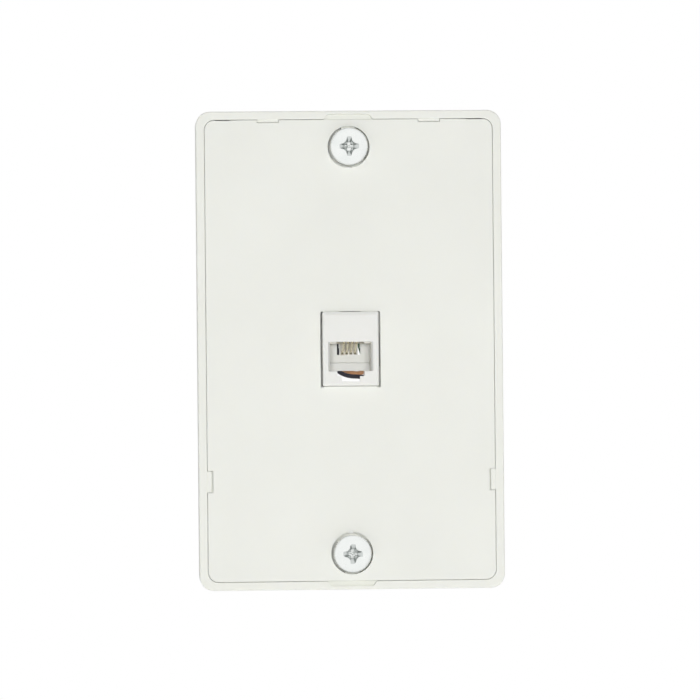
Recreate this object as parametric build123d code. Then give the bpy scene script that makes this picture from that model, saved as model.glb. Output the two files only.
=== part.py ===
from build123d import *
from math import asin, degrees, radians, tan
import os

# Telephone wall socket: a screwed-down base with a clipped cover, one six-position modular
# jack with its leads and terminals, and two studs that a wall telephone hangs on.
# Frame: X to the right, Z up, the room on -Y. The wall is y = 0, and the origin is the
# middle of the plate on it. All lengths are in millimetres.

# Base plate and rim
PLATE_WIDTH = 73.0
PLATE_HEIGHT = 114.3
PLATE_CORNER = 3.5
RIM_DEPTH = 7.2
RIM_WIDTH = 2.1
RIM_EDGE_ROUND = 0.35
RIM_INNER_ROUND = 0.15
OUTER_DRAFT = 0.8
FLOOR_THICKNESS = 1.8
REAR_RECESS = 1.0
REAR_LAND = 3.0
FLOOR_RIB_THICKNESS = 1.2
FLOOR_RIB_HEIGHT = 1.4
FLOOR_RIB_X = 24.0
FLOOR_RIB_Z = 27.0

# Cover that clips into the base
COVER_GAP = 0.08
COVER_THICKNESS = 1.8
COVER_CORNER = 2.4
COVER_EDGE_ROUND = 0.15
CORNER_GAP = 0.14
CORNER_GAP_X = 29.2
CORNER_GAP_LENGTH = 5.4
SEAT_WIDTH = 1.0
SMALLEST_CORNER = 0.5
SKIRT_GAP = 0.2
SKIRT_THICKNESS = 1.1
SKIRT_HEIGHT = 1.7
COVER_RIB_THICKNESS = 1.0
COVER_RIB_HEIGHT = 0.6
COVER_RIB_Z = 20.0

# Catches that hold the cover, and the notches that a blade lifts it by
CATCH_LENGTH = 5.0
CATCH_THICKNESS = 1.1
CATCH_LEAD = 0.2
CATCH_END_GAP = 0.15
CATCH_UNDER_GAP = 0.15
CATCH_SETBACK = 0.2
SIDE_CATCH_REACH = 1.2
SIDE_CATCH_TIP_GAP = 0.28
SIDE_CATCH_Z = -31.1
TOP_CATCH_REACH = 0.7
TOP_CATCH_TIP_GAP = 0.13
TOP_CATCH_X = 19.2
SEAT_RELIEF_END_GAP = 0.4
CORNER_RELIEF = 6.3
PRY_INNER_WIDTH = 12.6
PRY_OUTER_WIDTH = 9.1
PRY_REACH = 1.2
PRY_DEPTH = 1.6

# Studs for the telephone
STUD_FROM_END = 8.73
STUD_HEAD_DIAMETER = 8.9
STUD_HEAD_HEIGHT = 1.9
STUD_HEAD_EDGE = 0.8
STUD_NECK_DIAMETER = 4.2
STUD_NECK_FREE = 2.3
STUD_THREAD_DIAMETER = 3.5
STUD_THREAD_LENGTH = 5.6
STUD_HOLE_DIAMETER = 10.0
STUD_BOSS_DIAMETER = 7.2
STUD_BOSS_BELOW_FRONT = 1.2
STUD_RIB_THICKNESS = 3.4
STUD_RIB_BELOW_COVER = 0.2
INSERT_DIAMETER = 5.4
INSERT_LENGTH = 4.4
INSERT_GROOVE = 0.35
INSERT_GROOVE_WIDTH = 0.9
INSERT_SETBACK = 0.3
THREAD_CLEARANCE = 0.03
LOWER_STUD_TURN = 2.5

# Screws that fix the base to a wall box
BOX_SCREW_FROM_END = 15.5
BOX_SCREW_HOLE = 4.4
BOX_SCREW_PAD_WIDTH = 8.6
BOX_SCREW_PAD_HEIGHT = 1.2
BOX_SCREW_PAD_CORNER = 2.1
BOX_SCREW_HEAD_DIAMETER = 7.0
REAR_PAD_DIAMETER = 8.8

# Jack block
JACK_WIDTH = 13.4
JACK_HEIGHT = 17.65
JACK_RISE = 0.3
JACK_PROUD = 1.4
JACK_CORNER = 0.3
JACK_TOP_CHAMFER = 0.75
JACK_TOP_CHAMFER_DEPTH = 0.3
JACK_BOTTOM_ROUND = 0.55
JACK_SIDE_GAP = 0.46
JACK_TOP_GAP = 0.13
JACK_BOTTOM_GAP = 0.6
JACK_OPENING_CORNER = 0.5
CRADLE_CLEARANCE = 0.1
CRADLE_WALL = 1.4
CRADLE_HEIGHT = 1.5
FLANGE_WIDTH = 17.0
FLANGE_HEIGHT = 21.6
FLANGE_THICKNESS = 1.4
BARB_LENGTH = 8.0
BARB_REACH = 0.45
BARB_DEPTH = 1.0
BARB_GAP = 0.05

# Plug cavity, comb and latch slot
CAVITY_WIDTH = 9.85
CAVITY_FLOOR_Z = -5.0
CAVITY_DEPTH = 11.6
LIP_Z = 1.98
MOUTH_CHAMFER = 0.46
MOUTH_CHAMFER_DEPTH = 0.6
BACK_WALL = 1.4
BACK_STEP_HEIGHT = 1.75
BACK_STEP_REACH = 1.2
FRONT_WALL = 1.6
LATCH_WIDE_WIDTH = 6.5
LATCH_WIDE_HEIGHT = 1.2
LATCH_NARROW_WIDTH = 4.4
LATCH_SLOT_HEIGHT = 2.45
CHANNEL_WIDTH = 7.2
CHANNEL_HEIGHT = 2.8
COMB_PITCH = 1.016
COMB_SLOTS = 6
COMB_SLOT_WIDTH = 0.6
COMB_BOTTOM_Z = -1.15

# Contact carrier and contacts
CARRIER_WIDTH = 11.2
CARRIER_BOTTOM_Z = 1.55
CARRIER_HEIGHT = 4.95
CARRIER_CLEARANCE = 0.05
CARRIER_END_GAP = 0.2
CARRIER_CEILING = 0.75
CARRIER_ROOM_WIDTH = 6.6
CARRIER_BACK = 8.0
CARRIER_FRONT_CHAMFER = 0.3
TONGUE_MARGIN = 0.1
TONGUE_DEPTH = 2.4
TONGUE_SLOT_DEPTH = 1.1
TUNNEL_WALL = 1.1
CONTACTS = 4
CONTACT_DIAMETER = 0.5
CONTACT_BEND = 0.75
CONTACT_LOWER_BEND = 0.6
CONTACT_CLEARANCE = 0.05
CONTACT_TURN_Z = 1.75
CONTACT_TIP_Z = -0.75
CONTACT_TIP_IN_COMB = 0.6
CONTACT_REAR = 5.0

# Leads and their terminals
LEAD_DIAMETER = 1.0
LEAD_POCKET_MARGIN = 0.5
LEAD_CLEARANCE = 0.05
LEAD_IN_BARREL = 1.6
LEAD_STRAIGHT = 1.4
LEAD_LOOPS = {"black": 3.5, "orange": 3.9, "red": 5.1, "green": 3.6}
TERMINAL_X = 16.8
TERMINAL_Z = 7.0
TERMINAL_BOSS_DIAMETER = 6.4
TERMINAL_BEHIND_WALL = 3.0
TERMINAL_PILOT_DIAMETER = 2.5
TERMINAL_PILOT_DEPTH = 4.9
BARRIER_LENGTH = 9.0
BARRIER_THICKNESS = 1.2
BARRIER_BEHIND_WALL = 5.6
WASHER_DIAMETER = 6.6
WASHER_BORE = 3.3
WASHER_THICKNESS = 0.6
LUG_THICKNESS = 0.5
LUG_WIDTH = 6.0
LUG_SLOT = 3.2
LUG_OUTWARD = 3.0
LUG_INWARD = 4.3
LUG_CORNER = 1.5
LUG_NECK_WIDTH = 1.8
LUG_BARREL_DIAMETER = 1.9
LUG_BARREL_LENGTH = 3.4
LUG_BARREL_FROM_SCREW = 3.9
CRIMP_LENGTH = 1.3
CRIMP_DEPTH = 0.25
TERMINAL_HEAD_DIAMETER = 6.2
TERMINAL_HEAD_HEIGHT = 2.1
TERMINAL_HEAD_EDGE = 1.0
TERMINAL_SHANK_DIAMETER = 2.4
TERMINAL_SHANK_LENGTH = 6.2

# Phillips recess, as shares of the size of the screw head
RECESS_SPAN = 0.52
RECESS_ARM = 0.125
RECESS_DEPTH = 0.75
RECESS_FOOT = 0.42
RECESS_WEB = 1.3
HEAD_SOFTNESS = 0.6

# Depths worked out from the sizes above; the room is towards minus
RIM_FRONT = -RIM_DEPTH
COVER_BACK = RIM_FRONT + COVER_THICKNESS
FLOOR_BACK = -REAR_RECESS
FLOOR_FRONT = FLOOR_BACK - FLOOR_THICKNESS
CRADLE_FRONT = FLOOR_FRONT - CRADLE_HEIGHT
STUD_BOSS_FRONT = RIM_FRONT + STUD_BOSS_BELOW_FRONT
JACK_FRONT = RIM_FRONT - JACK_PROUD
CAVITY_BACK = JACK_FRONT + CAVITY_DEPTH
JACK_BODY_BACK = CAVITY_BACK + BACK_WALL
CARRIER_FRONT = JACK_FRONT + FRONT_WALL + CARRIER_END_GAP
CARRIER_TOP_Z = CARRIER_BOTTOM_Z + CARRIER_HEIGHT
LUG_FRONT = TERMINAL_BEHIND_WALL + WASHER_THICKNESS
LUG_BACK = LUG_FRONT + LUG_THICKNESS
TERMINAL_HEAD_SEAT = LUG_BACK + WASHER_THICKNESS
BARREL_Y = LUG_FRONT + LUG_BARREL_DIAMETER / 2

# Widths and heights worked out from the sizes above
POCKET_WIDTH = PLATE_WIDTH - 2 * RIM_WIDTH
POCKET_HEIGHT = PLATE_HEIGHT - 2 * RIM_WIDTH
COVER_WIDTH = POCKET_WIDTH - 2 * COVER_GAP
COVER_HEIGHT = POCKET_HEIGHT - 2 * COVER_GAP
ROOM_WIDTH = POCKET_WIDTH - 2 * SEAT_WIDTH
ROOM_HEIGHT = POCKET_HEIGHT - 2 * SEAT_WIDTH
SKIRT_WIDTH = ROOM_WIDTH - 2 * SKIRT_GAP
SKIRT_OUTLINE_HEIGHT = ROOM_HEIGHT - 2 * SKIRT_GAP
STUD_Z = PLATE_HEIGHT / 2 - STUD_FROM_END
BOX_SCREW_Z = PLATE_HEIGHT / 2 - BOX_SCREW_FROM_END
CONTACT_RADIUS = CONTACT_DIAMETER / 2
GROOVE_DEPTH = CONTACT_DIAMETER + 2 * CONTACT_CLEARANCE
CONTACT_RUN_Z = CARRIER_TOP_Z - GROOVE_DEPTH + CONTACT_CLEARANCE + CONTACT_RADIUS
CONTACT_FRONT_Y = CARRIER_FRONT + GROOVE_DEPTH - CONTACT_CLEARANCE - CONTACT_RADIUS
LEAD_RADIUS = LEAD_DIAMETER / 2
LEAD_RUN_Z = CARRIER_TOP_Z - LEAD_RADIUS

# Terminals as seen from the front: side of the jack, level, and the lead that ends there
TERMINALS = {
    "upper_left": (-1, 1, "red"),
    "lower_left": (-1, -1, "green"),
    "upper_right": (1, 1, "orange"),
    "lower_right": (1, -1, "black"),
}
OVERSHOOT = 1.0
PLANE_TOLERANCE = 0.001


def facing(y):
    """Sketch plane parallel to the wall at depth y, seen from the room."""
    return Plane(origin=(0, y, 0), x_dir=(1, 0, 0), z_dir=(0, -1, 0))


def slab(outline, back, front):
    """Outline extruded from depth back towards the room, as far as depth front."""
    return extrude(facing(back) * outline, amount=back - front)


def box(x, y, z):
    """Block between two limits on each axis."""
    size = (x[1] - x[0], y[1] - y[0], z[1] - z[0])
    return Pos(sum(x) / 2, sum(y) / 2, sum(z) / 2) * Box(*size)


def side_prism(points, width):
    """Prism along X, centred on it, whose side view is a polygon of (y, z) points."""
    face = Plane.YZ * make_face(Polyline(*points, close=True))
    return extrude(face, amount=width / 2, both=True)


def disc(x, z, diameter, back, front):
    """Round bar square to the wall."""
    return slab(Pos(x, z) * Circle(diameter / 2), back, front)


def front_edges(solid, y):
    """Edges of a solid that lie in the plane at depth y."""
    return solid.edges().filter_by_position(Axis.Y, y - PLANE_TOLERANCE, y + PLANE_TOLERANCE)


# Base frame


def rim_block():
    """Drafted block of the plate with the cover's hollow in it, both edges of its front rounded."""
    outline = RectangleRounded(PLATE_WIDTH, PLATE_HEIGHT, PLATE_CORNER)
    block = extrude(facing(0) * outline, amount=RIM_DEPTH, taper=OUTER_DRAFT)
    block = fillet(front_edges(block, RIM_FRONT), RIM_EDGE_ROUND) - cover_pocket()
    rim = block.faces().sort_by(Axis.Y)[0]
    return fillet(rim.inner_wires()[0].edges(), RIM_INNER_ROUND)


def cover_pocket():
    """Hollow for the cover, the room behind it, and the deeper corners at the top."""
    corner = COVER_CORNER + COVER_GAP
    whole = RectangleRounded(POCKET_WIDTH, POCKET_HEIGHT, corner)
    pocket = slab(whole, COVER_BACK, RIM_FRONT - OVERSHOOT)
    inner = RectangleRounded(ROOM_WIDTH, ROOM_HEIGHT, max(corner - SEAT_WIDTH, SMALLEST_CORNER))
    room = slab(inner, FLOOR_FRONT, RIM_FRONT - OVERSHOOT)
    full = slab(whole, FLOOR_FRONT, RIM_FRONT)
    for side in (-1, 1):
        corner_at = Pos(side * POCKET_WIDTH / 2, POCKET_HEIGHT / 2)
        square = corner_at * Rectangle(2 * CORNER_RELIEF, 2 * CORNER_RELIEF)
        room += full & slab(square, FLOOR_FRONT, RIM_FRONT)
    return pocket + room


def rear_hollow():
    """Shallow recess that leaves a land around the edge to bear on the wall."""
    width = PLATE_WIDTH - 2 * REAR_LAND
    height = PLATE_HEIGHT - 2 * REAR_LAND
    return slab(RectangleRounded(width, height, PLATE_CORNER), OVERSHOOT, FLOOR_BACK)


def catch_places():
    """Wall point, inward direction, reach and tip gap of each catch."""
    side, top = POCKET_WIDTH / 2, POCKET_HEIGHT / 2
    return [
        ((-side, SIDE_CATCH_Z), (1, 0), SIDE_CATCH_REACH, SIDE_CATCH_TIP_GAP),
        ((side, SIDE_CATCH_Z), (-1, 0), SIDE_CATCH_REACH, SIDE_CATCH_TIP_GAP),
        ((-TOP_CATCH_X, top), (0, -1), TOP_CATCH_REACH, TOP_CATCH_TIP_GAP),
        ((TOP_CATCH_X, top), (0, -1), TOP_CATCH_REACH, TOP_CATCH_TIP_GAP),
    ]


def catch_outline(place, behind, reach, length):
    """Rectangle across the pocket's wall: behind it by one length, into the pocket by reach."""
    (x, z), (dx, dz), _, _ = place
    middle = (reach - behind) / 2
    across = reach + behind
    shape = Rectangle(across, length) if dx else Rectangle(length, across)
    return Pos(x + dx * middle, z + dz * middle) * shape


def catch(place):
    """Tooth on the rim's inner side, its leading edge broken for the cover to snap past."""
    (x, z), (dx, dz), reach, _ = place
    front = RIM_FRONT + CATCH_SETBACK
    outline = catch_outline(place, RIM_WIDTH / 2, reach, CATCH_LENGTH)
    tooth = slab(outline, RIM_FRONT + CATCH_THICKNESS, front)
    tip = (x + dx * reach, front, z + dz * reach)
    return chamfer(front_edges(tooth, front).sort_by_distance(tip)[0], CATCH_LEAD)


def catch_relief(place):
    """Gap in the cover's seat behind a tooth, where the mould's core comes through."""
    length = CATCH_LENGTH + 2 * SEAT_RELIEF_END_GAP
    return slab(catch_outline(place, 0, SEAT_WIDTH + OVERSHOOT, length), FLOOR_FRONT, RIM_FRONT)


def pry_notch():
    """Hollow in the rim's inner side at the top, with ends that sweep in on S curves."""
    wall = POCKET_HEIGHT / 2
    inner, outer = PRY_INNER_WIDTH / 2, PRY_OUTER_WIDTH / 2
    start, end = wall - COVER_GAP / 2, wall + PRY_REACH
    right = Spline((inner, start), (outer, end), tangents=[(-1, 0), (-1, 0)])
    left = Spline((-outer, end), (-inner, start), tangents=[(-1, 0), (-1, 0)])
    edges = [Line((-inner, start), (inner, start)), right, Line((outer, end), (-outer, end)), left]
    return slab(make_face(edges), RIM_FRONT + PRY_DEPTH, RIM_FRONT - OVERSHOOT)


def stud_seat(sign):
    """Boss for one stud, the rib that ties it to the rim, and its pad on the wall side."""
    z = sign * STUD_Z
    boss = disc(0, z, STUD_BOSS_DIAMETER, FLOOR_FRONT, STUD_BOSS_FRONT)
    half = STUD_RIB_THICKNESS / 2
    rib_front = COVER_BACK + STUD_RIB_BELOW_COVER
    rib = box((-half, half), (rib_front, FLOOR_FRONT), sorted((z, sign * POCKET_HEIGHT / 2)))
    return boss + rib + disc(0, z, REAR_PAD_DIAMETER, 0, FLOOR_FRONT)


def stud_bores(sign):
    """Seat for the brass insert, open at the back, and the way in for the stud's thread."""
    z = sign * STUD_Z
    insert = disc(0, z, INSERT_DIAMETER, OVERSHOOT, -INSERT_LENGTH - INSERT_SETBACK)
    thread = disc(0, z, STUD_THREAD_DIAMETER + 2 * THREAD_CLEARANCE, 0, STUD_BOSS_FRONT - OVERSHOOT)
    return insert + thread


def box_screw_seat(sign):
    """Raised pad under the head of a wall-box screw, and its pad on the wall side."""
    z = sign * BOX_SCREW_Z
    length = BOX_SCREW_HEAD_DIAMETER + 2 * FLOOR_RIB_THICKNESS
    outline = Pos(0, z) * RectangleRounded(BOX_SCREW_PAD_WIDTH, length, BOX_SCREW_PAD_CORNER)
    pad = slab(outline, FLOOR_FRONT, FLOOR_FRONT - BOX_SCREW_PAD_HEIGHT)
    return pad + disc(0, z, REAR_PAD_DIAMETER, 0, FLOOR_FRONT)


def box_screw_hole(sign):
    """Clearance hole for a wall-box screw."""
    return disc(0, sign * BOX_SCREW_Z, BOX_SCREW_HOLE, OVERSHOOT, RIM_FRONT)


def cradle():
    """Collar on the floor that guides the jack."""
    clear = 2 * CRADLE_CLEARANCE
    wall = 2 * CRADLE_WALL + clear
    outer = Pos(0, JACK_RISE) * RectangleRounded(JACK_WIDTH + wall, JACK_HEIGHT + wall, CRADLE_WALL)
    return slab(outer, FLOOR_FRONT, CRADLE_FRONT)


def jack_way():
    """Rectangular way through the floor and the collar for the jack."""
    clear = 2 * CRADLE_CLEARANCE
    hole = Pos(0, JACK_RISE) * Rectangle(JACK_WIDTH + clear, JACK_HEIGHT + clear)
    return slab(hole, OVERSHOOT, CRADLE_FRONT - OVERSHOOT)


def floor_ribs():
    """Stiffening ribs on the floor, two upright and four across."""
    back, front = FLOOR_FRONT, FLOOR_FRONT - FLOOR_RIB_HEIGHT
    half = FLOOR_RIB_THICKNESS / 2
    half_width, half_height = ROOM_WIDTH / 2, ROOM_HEIGHT / 2
    ribs = Part()
    for x in (-FLOOR_RIB_X, FLOOR_RIB_X):
        ribs += box((x - half, x + half), (front, back), (-half_height, half_height))
    for z in (-FLOOR_RIB_Z, FLOOR_RIB_Z):
        ribs += box((-half_width, half_width), (front, back), (z - half, z + half))
    return ribs


def terminal_boss(side, level):
    """Boss behind the floor that carries one terminal, with its pilot hole."""
    x, z = side * TERMINAL_X, level * TERMINAL_Z
    boss = disc(x, z, TERMINAL_BOSS_DIAMETER, TERMINAL_BEHIND_WALL, FLOOR_FRONT)
    pilot_end = TERMINAL_BEHIND_WALL - TERMINAL_PILOT_DEPTH
    return boss, disc(x, z, TERMINAL_PILOT_DIAMETER, TERMINAL_BEHIND_WALL + OVERSHOOT, pilot_end)


def barrier(side):
    """Wall behind the floor that keeps the wires of two terminals apart."""
    x = side * TERMINAL_X
    half = BARRIER_LENGTH / 2
    thick = BARRIER_THICKNESS / 2
    return box((x - half, x + half), (FLOOR_FRONT, BARRIER_BEHIND_WALL), (-thick, thick))


def base_frame():
    """Moulded base: rim, floor, catches, bosses, collar and terminal posts in one piece."""
    frame = rim_block() - rear_hollow()
    frame += floor_ribs() + cradle()
    for sign in (-1, 1):
        frame += stud_seat(sign) + box_screw_seat(sign)
    for place in catch_places():
        frame -= catch_relief(place)
        frame += catch(place)
    notch = pry_notch()
    frame -= notch + mirror(notch, about=Plane.XY)
    for sign in (-1, 1):
        frame -= stud_bores(sign) + box_screw_hole(sign)
        frame += barrier(sign)
    for side, level, _ in TERMINALS.values():
        boss, pilot = terminal_boss(side, level)
        frame += boss
        frame -= pilot
    return frame - jack_way()


# Cover


def cover_notch(place):
    """Hollow in the cover's edge that a catch reaches into, with a lip left behind it."""
    _, _, reach, tip_gap = place
    length = CATCH_LENGTH + 2 * CATCH_END_GAP
    back = RIM_FRONT + CATCH_THICKNESS + CATCH_UNDER_GAP
    return slab(catch_outline(place, OVERSHOOT, reach + tip_gap, length), back, RIM_FRONT - OVERSHOOT)


def cover_skirt():
    """Wall behind the cover that centres it in the base, cut away for the base's ribs."""
    corner = max(COVER_CORNER - SEAT_WIDTH, SMALLEST_CORNER)
    back = COVER_BACK + SKIRT_HEIGHT
    outer = slab(RectangleRounded(SKIRT_WIDTH, SKIRT_OUTLINE_HEIGHT, corner), back, COVER_BACK)
    wall = 2 * SKIRT_THICKNESS
    inner = slab(Rectangle(SKIRT_WIDTH - wall, SKIRT_OUTLINE_HEIGHT - wall), back, COVER_BACK)
    skirt = outer - inner
    gap = SKIRT_GAP + COVER_GAP
    rib_reach = COVER_HEIGHT / 2
    half = STUD_RIB_THICKNESS / 2 + gap
    skirt -= box((-half, half), (COVER_BACK, back), (-rib_reach, rib_reach))
    upright = FLOOR_RIB_THICKNESS / 2 + gap
    for x in (-FLOOR_RIB_X, FLOOR_RIB_X):
        skirt -= box((x - upright, x + upright), (COVER_BACK, back), (-rib_reach, rib_reach))
    rib_reach = COVER_WIDTH / 2
    for z in (-FLOOR_RIB_Z, FLOOR_RIB_Z):
        skirt -= box((-rib_reach, rib_reach), (COVER_BACK, back), (z - upright, z + upright))
    return skirt


def cover_ribs():
    """Two shallow ribs across the back of the cover, clear of the jack."""
    half_width = SKIRT_WIDTH / 2 - SKIRT_THICKNESS / 2
    half = COVER_RIB_THICKNESS / 2
    back = COVER_BACK + COVER_RIB_HEIGHT
    ribs = Part()
    for z in (-COVER_RIB_Z, COVER_RIB_Z):
        ribs += box((-half_width, half_width), (COVER_BACK, back), (z - half, z + half))
    return ribs


def corner_slit(side):
    """Wider stretch of the gap, in the cover's upper edge near a corner."""
    half = CORNER_GAP_LENGTH / 2
    x, edge = side * CORNER_GAP_X, COVER_HEIGHT / 2
    depth = (RIM_FRONT - OVERSHOOT, COVER_BACK)
    return box((x - half, x + half), depth, (edge - CORNER_GAP, edge + OVERSHOOT))


def cover():
    """Flat moulded cover, flush with the rim, with openings for the jack and the studs."""
    plate = slab(RectangleRounded(COVER_WIDTH, COVER_HEIGHT, COVER_CORNER), COVER_BACK, RIM_FRONT)
    plate = fillet(front_edges(plate, RIM_FRONT), COVER_EDGE_ROUND)
    plate += cover_skirt() + cover_ribs()
    width = JACK_WIDTH + 2 * JACK_SIDE_GAP
    height = JACK_HEIGHT + JACK_TOP_GAP + JACK_BOTTOM_GAP
    middle = JACK_RISE + (JACK_TOP_GAP - JACK_BOTTOM_GAP) / 2
    opening = Pos(0, middle) * RectangleRounded(width, height, JACK_OPENING_CORNER)
    plate -= slab(opening, 0, RIM_FRONT - OVERSHOOT)
    for sign in (-1, 1):
        plate -= disc(0, sign * STUD_Z, STUD_HOLE_DIAMETER, 0, RIM_FRONT - OVERSHOOT)
        plate -= corner_slit(sign)
    for place in catch_places():
        plate -= cover_notch(place)
    return plate


# Jack housing


def jack_block():
    """Outer form of the jack: the block seen in the cover, and the tunnel behind it."""
    outline = Pos(0, JACK_RISE) * RectangleRounded(JACK_WIDTH, JACK_HEIGHT, JACK_CORNER)
    block = slab(outline, JACK_BODY_BACK, JACK_FRONT)
    top = JACK_RISE + JACK_HEIGHT / 2
    bevel = [
        (JACK_FRONT - OVERSHOOT, top - JACK_TOP_CHAMFER),
        (JACK_FRONT, top - JACK_TOP_CHAMFER),
        (JACK_FRONT + JACK_TOP_CHAMFER_DEPTH, top),
        (JACK_FRONT + JACK_TOP_CHAMFER_DEPTH, top + OVERSHOOT),
        (JACK_FRONT - OVERSHOOT, top + OVERSHOOT),
    ]
    lower_edge = front_edges(block, JACK_FRONT).sort_by(Axis.Z)[0]
    block = fillet(lower_edge, JACK_BOTTOM_ROUND)
    block -= side_prism(bevel, JACK_WIDTH + OVERSHOOT)
    half = CARRIER_WIDTH / 2 + CARRIER_CLEARANCE + TUNNEL_WALL
    roof = CARRIER_TOP_Z + CARRIER_CLEARANCE + TUNNEL_WALL
    return block + box((-half, half), (CAVITY_BACK, CARRIER_BACK), (CARRIER_BOTTOM_Z - TUNNEL_WALL, roof))


def flange():
    """Flange that bears on the back of the floor."""
    outline = Pos(0, JACK_RISE) * RectangleRounded(FLANGE_WIDTH, FLANGE_HEIGHT, CRADLE_WALL)
    return slab(outline, FLOOR_BACK + FLANGE_THICKNESS, FLOOR_BACK)


def barb(side):
    """Wedge on one side of the jack that snaps over the front of the collar."""
    back = CRADLE_FRONT - BARB_GAP
    foot, tip = side * JACK_WIDTH / 2, side * (JACK_WIDTH / 2 + BARB_REACH)
    root = foot - side * BARB_REACH
    points = [(root, back), (tip, back), (foot, back - BARB_DEPTH), (root, back - BARB_DEPTH)]
    wedge = make_face(Polyline(*points, close=True))
    return extrude(Plane.XY * wedge, amount=BARB_LENGTH / 2, both=True)


def plug_cavity():
    """Space for the plug's body, its flared mouth and the step across the back wall."""
    half = CAVITY_WIDTH / 2
    cavity = box((-half, half), (JACK_FRONT - OVERSHOOT, CAVITY_BACK), (CAVITY_FLOOR_Z, LIP_Z))
    behind_lip = JACK_FRONT + FRONT_WALL
    cavity += box((-half, half), (behind_lip, CAVITY_BACK), (CAVITY_FLOOR_Z, CARRIER_BOTTOM_Z + OVERSHOOT))
    step_top = CAVITY_FLOOR_Z + BACK_STEP_HEIGHT
    step = box((-half, half), (CAVITY_BACK - BACK_STEP_REACH, CAVITY_BACK), (CAVITY_FLOOR_Z, step_top))
    cavity -= step
    for side in (-1, 1):
        points = [
            (side * (half - OVERSHOOT), JACK_FRONT),
            (side * (half + MOUTH_CHAMFER), JACK_FRONT),
            (side * half, JACK_FRONT + MOUTH_CHAMFER_DEPTH),
            (side * (half - OVERSHOOT), JACK_FRONT + MOUTH_CHAMFER_DEPTH),
        ]
        flare = make_face(Polyline(*points, close=True))
        cavity += extrude(Plane.XY.offset(CAVITY_FLOOR_Z) * flare, amount=LIP_Z - CAVITY_FLOOR_Z)
    return cavity


def latch_way():
    """Stepped slot in the front wall for the plug's latch, and the channel behind it."""
    wide, narrow, channel = LATCH_WIDE_WIDTH / 2, LATCH_NARROW_WIDTH / 2, CHANNEL_WIDTH / 2
    front = JACK_FRONT - OVERSHOOT
    inside = JACK_FRONT + FRONT_WALL
    top = CAVITY_FLOOR_Z + BACK_STEP_HEIGHT / 2
    way = box((-wide, wide), (front, inside), (CAVITY_FLOOR_Z - LATCH_WIDE_HEIGHT, top))
    way += box((-narrow, narrow), (front, inside), (CAVITY_FLOOR_Z - LATCH_SLOT_HEIGHT, top))
    floor = CAVITY_FLOOR_Z - CHANNEL_HEIGHT
    way += box((-channel, channel), (inside, JACK_BODY_BACK + OVERSHOOT), (floor, CAVITY_FLOOR_Z))
    return way


def slot_positions(count):
    """Centres of a number of neighbouring comb slots, spread evenly about the middle."""
    return [(i - (count - 1) / 2) * COMB_PITCH for i in range(count)]


def tongue_half_width():
    """Half the width of the carrier's tongue: its slots and a thin wall outside them."""
    return slot_positions(CONTACTS)[-1] + COMB_SLOT_WIDTH / 2 + TONGUE_MARGIN


def back_comb():
    """Way through the back wall for the carrier's tongue, and the spare slot on each side of it."""
    depth = (CAVITY_BACK - OVERSHOOT, CARRIER_BACK + OVERSHOOT)
    half = tongue_half_width() + CARRIER_CLEARANCE
    way = box((-half, half), depth, (COMB_BOTTOM_Z - CARRIER_CLEARANCE, CARRIER_BOTTOM_Z))
    slot = COMB_SLOT_WIDTH / 2
    spare = slot_positions(COMB_SLOTS)[-1]
    for x in (-spare, spare):
        way += box((x - slot, x + slot), depth, (COMB_BOTTOM_Z, CARRIER_BOTTOM_Z))
    return way


def carrier_pocket():
    """Space for the contact carrier, open at the back."""
    half = CARRIER_WIDTH / 2 + CARRIER_CLEARANCE
    top = CARRIER_TOP_Z + CARRIER_CLEARANCE
    front = JACK_FRONT + FRONT_WALL
    return box((-half, half), (front, CARRIER_BACK + OVERSHOOT), (CARRIER_BOTTOM_Z, top))


def jack_housing():
    """Six-position jack housing, open in front for the plug and at the back for the leads."""
    housing = jack_block() + flange() + barb(-1) + barb(1)
    return housing - plug_cavity() - latch_way() - back_comb() - carrier_pocket()


# Contact carrier


def groove_profile():
    """Side view of one wire groove: over the top of the carrier and down its front."""
    top, floor = CARRIER_TOP_Z, CARRIER_TOP_Z - GROOVE_DEPTH
    front, inner = CARRIER_FRONT, CARRIER_FRONT + GROOVE_DEPTH
    back, bottom = CONTACT_REAR, CARRIER_BOTTOM_Z
    bend = CONTACT_BEND - CONTACT_RADIUS - CONTACT_CLEARANCE
    corner = [Line((back, floor), (inner + bend, floor))]
    corner += [RadiusArc((inner + bend, floor), (inner, floor - bend), bend)]
    corner += [Line((inner, floor - bend), (inner, bottom))]
    outer, above = front - OVERSHOOT, top + OVERSHOOT
    corner += [Polyline((inner, bottom), (outer, bottom), (outer, above), (back, above), (back, floor))]
    return make_face(corner)


def carrier_tongue():
    """Comb under the carrier's back that keeps the tips of the contacts apart, closed behind."""
    half = tongue_half_width()
    depth = (CAVITY_BACK, CAVITY_BACK + TONGUE_DEPTH)
    tongue = box((-half, half), depth, (COMB_BOTTOM_Z, CARRIER_BOTTOM_Z))
    slot = COMB_SLOT_WIDTH / 2
    room = (CAVITY_BACK - OVERSHOOT, CAVITY_BACK + TONGUE_SLOT_DEPTH)
    for x in slot_positions(CONTACTS):
        tongue -= box((x - slot, x + slot), room, (COMB_BOTTOM_Z - OVERSHOOT, CARRIER_BOTTOM_Z))
    return tongue


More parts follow.
